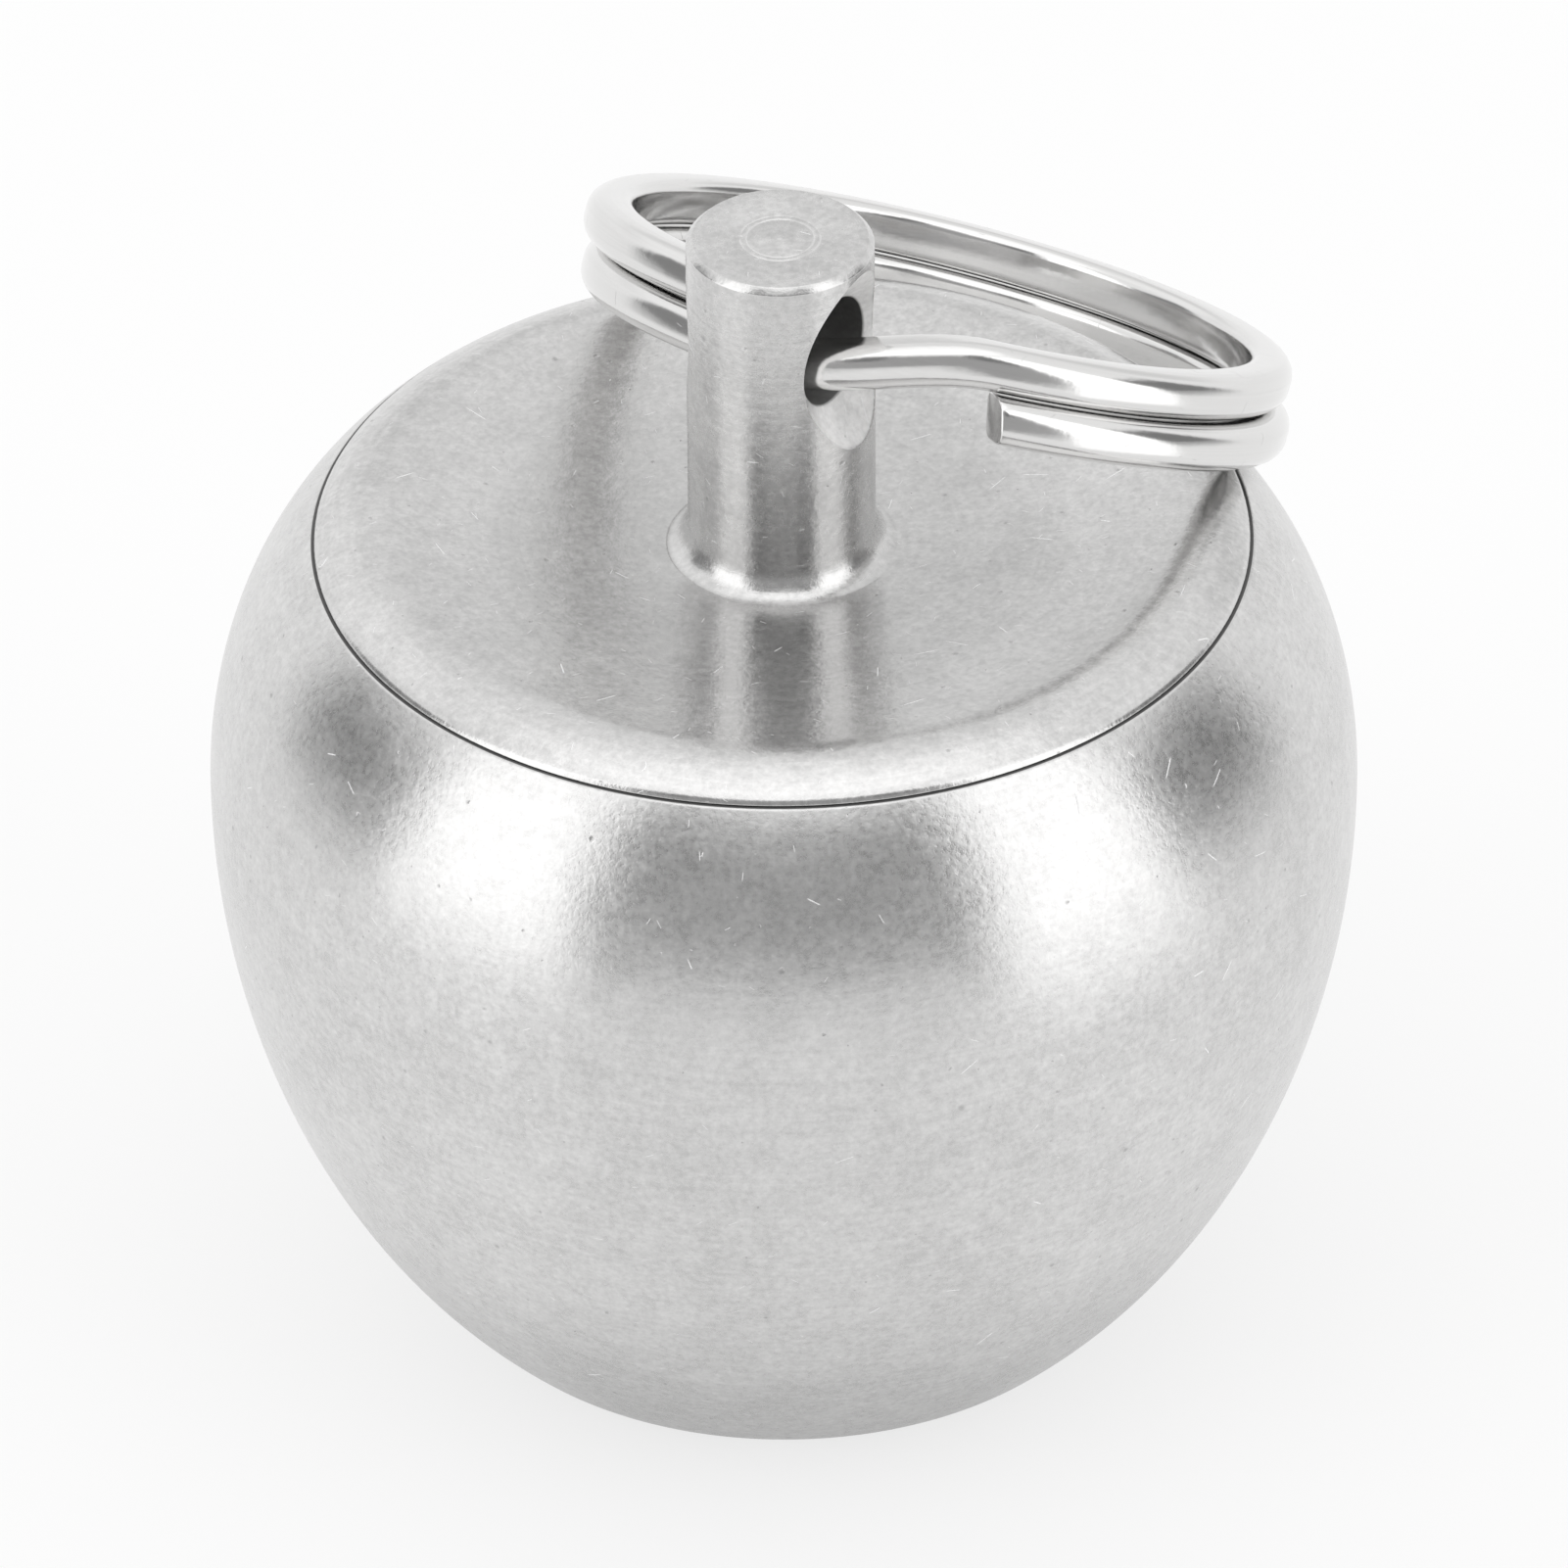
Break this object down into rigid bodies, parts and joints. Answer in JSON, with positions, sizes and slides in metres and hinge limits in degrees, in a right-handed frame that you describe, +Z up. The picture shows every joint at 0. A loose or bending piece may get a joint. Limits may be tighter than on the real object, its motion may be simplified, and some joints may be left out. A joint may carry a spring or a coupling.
{
  "type": "pill capsule container",
  "caption": "Metal pill capsule in the form of an apple, with a threaded lid, a rubber seal and a double-turn split ring through the lid's drilled stem.",
  "frame": {"origin": "centre of the cup's flat base", "axes": "+Z up along the turning axis from the base to the stem; +X to the right and +Y away in a front view; the ring leans down towards azimuth 58 degrees, counted from +X towards +Y"},
  "size_m": [0.03, 0.0307, 0.0319],
  "materials": {
    "cup_steel": "satin, finely turned",
    "lid_steel": "satin, finely turned, with turning marks on the stem",
    "seal_rubber": "matt black",
    "ring_steel": "polished nickel"
  },
  "bodies": {
    "cup": {"container_cup": "cup_steel"},
    "seal": {"seal_ring": "seal_rubber"},
    "lid": {"screw_lid": "lid_steel"},
    "ring": {"split_ring": "ring_steel"}
  },
  "joints": [
    {"name": "lid_lift", "type": "slide", "parent": "cup", "child": "seal", "axis": [0, 0, 1], "range_m": [0, 0.0061]},
    {"name": "lid_turn", "type": "hinge", "parent": "seal", "child": "lid", "pos_m": [0, 0, 0.02273], "axis": [0, 0, 1], "range_deg": [0, 1440]},
    {"name": "ring_swing", "type": "hinge", "parent": "lid", "child": "ring", "pos_m": [0, 0, 0.029], "axis": [0.848, -0.5299, 0], "range_deg": [0, 235]}
  ],
  "couplings": [
    {"joint": "lid_lift", "follows": "lid_turn", "m_per_rad": 0.00023873}
  ]
}
